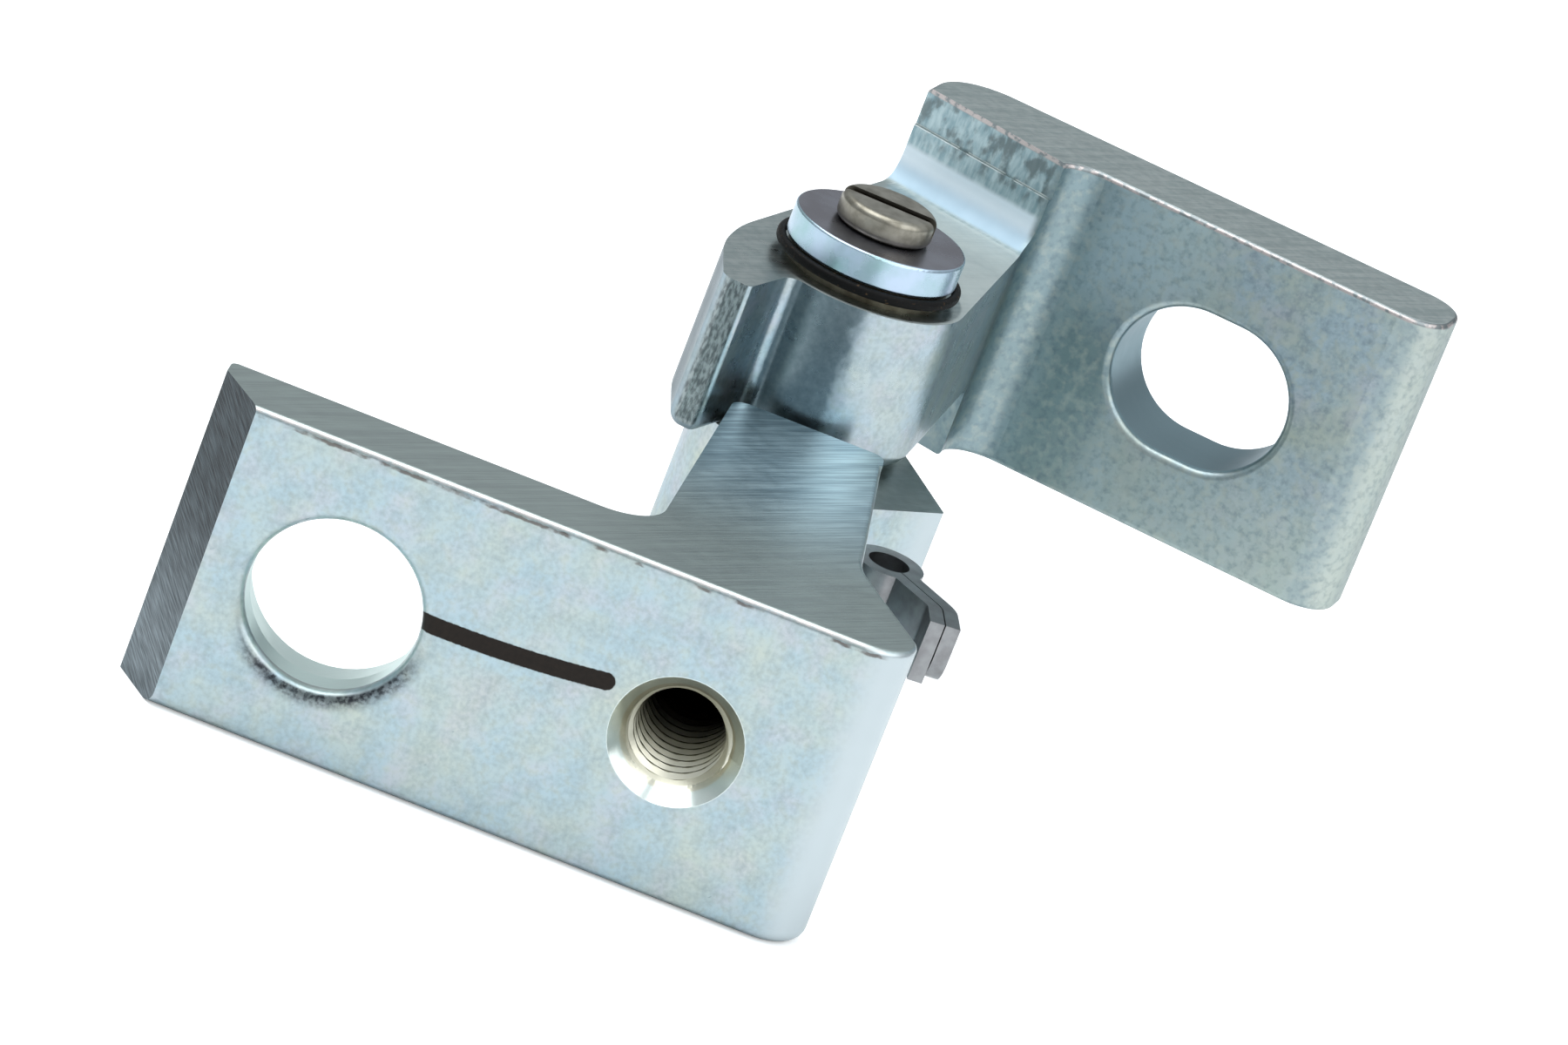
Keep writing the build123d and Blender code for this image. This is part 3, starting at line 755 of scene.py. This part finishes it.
def add_world():
    """White to the camera; to the metal, brighter above than level, and a little dimmer behind."""
    world = bpy.data.worlds.new("studio")
    scene.world = world
    world.use_nodes = True
    tree = world.node_tree
    nodes = tree.nodes
    link = tree.links.new
    source = nodes.new("ShaderNodeTexCoord")
    parts = nodes.new("ShaderNodeSeparateXYZ")
    link(source.outputs["Generated"], parts.inputs[0])
    height = nodes.new("ShaderNodeMapRange")
    link(parts.outputs["Z"], height.inputs["Value"])
    height.inputs["To Min"].default_value = SKY_LOW
    height.inputs["To Max"].default_value = SKY_HIGH
    depth = nodes.new("ShaderNodeMapRange")
    link(parts.outputs["Y"], depth.inputs["Value"])
    depth.inputs["From Min"].default_value = -1.0
    depth.inputs["To Min"].default_value = SKY_FRONT
    depth.inputs["To Max"].default_value = SKY_BACK
    level = nodes.new("ShaderNodeMath")
    level.operation = "MULTIPLY"
    link(height.outputs["Result"], level.inputs[0])
    link(depth.outputs["Result"], level.inputs[1])
    sky = nodes.new("ShaderNodeBackground")
    sky.inputs["Color"].default_value = tone(240, 246, 250)
    link(level.outputs[0], sky.inputs["Strength"])
    white = nodes.new("ShaderNodeBackground")
    white.inputs["Color"].default_value = WHITE
    path = nodes.new("ShaderNodeLightPath")
    chosen = nodes.new("ShaderNodeMixShader")
    link(path.outputs["Is Camera Ray"], chosen.inputs[0])
    link(sky.outputs[0], chosen.inputs[1])
    link(white.outputs[0], chosen.inputs[2])
    link(chosen.outputs[0], nodes["World Output"].inputs["Surface"])


def add_softbox(name, place, size, watts):
    """A square area lamp that looks at the hinge."""
    lamp = bpy.data.lights.new(name, "AREA")
    lamp.size = size
    lamp.energy = watts
    softbox = bpy.data.objects.new(name, lamp)
    softbox.location = place
    softbox.rotation_euler = (-Vector(place)).to_track_quat("-Z", "Y").to_euler()
    scene.collection.objects.link(softbox)


def add_camera():
    """Camera where the photograph was taken from."""
    anchor = Vector(frame["joints"][0]["pos_m"])
    anchor.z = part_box("pillar_leaf")[1].z
    level = Vector((cos(CAMERA_AZIMUTH), -sin(CAMERA_AZIMUTH), 0))
    ahead = Vector((sin(CAMERA_AZIMUTH), cos(CAMERA_AZIMUTH), 0)) * cos(CAMERA_ELEVATION)
    ahead.z = -sin(CAMERA_ELEVATION)
    plumb = ahead.cross(level)
    right = level * cos(CAMERA_ROLL) - plumb * sin(CAMERA_ROLL)
    down = level * sin(CAMERA_ROLL) + plumb * cos(CAMERA_ROLL)
    aside = (ANCHOR_PX[0] - PHOTO_W / 2) / FOCAL_PX
    below = (ANCHOR_PX[1] - PHOTO_H / 2) / FOCAL_PX
    place = anchor - (right * aside + down * below + ahead) * ANCHOR_DEPTH
    data = bpy.data.cameras.new("photo_view")
    data.sensor_width = SENSOR_MM
    data.lens = FOCAL_PX / PHOTO_W * SENSOR_MM
    data.clip_start = CLIP_START
    camera = bpy.data.objects.new("photo_view", data)
    turn = Matrix((right, -down, -ahead)).transposed()
    camera.matrix_world = Matrix.Translation(place) @ turn.to_4x4()
    scene.collection.objects.link(camera)
    scene.camera = camera


pillar_material = pillar_zinc()
paint(pillar_material, "pillar_leaf")
paint(door_zinc(), "door_leaf")
paint(pin_steel(), "hinge_pin")
paint(bush_bronze(), "upper_bush", "lower_bush")
paint(seal_rubber(), "seal_ring")
paint(washer_zinc(), "cap_washer")
paint(screw_steel(), "retaining_screw")
paint(clip_steel(), "spring_clip")

thread = thread_liner()
thread.data.materials.append(pillar_material)
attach(thread, "pillar")

add_floor()
add_world()
add_softbox("key", KEY_AT, KEY_SIZE, KEY_WATTS)
add_softbox("fill", FILL_AT, FILL_SIZE, FILL_WATTS)
add_camera()
scene.view_settings.view_transform = "Standard"
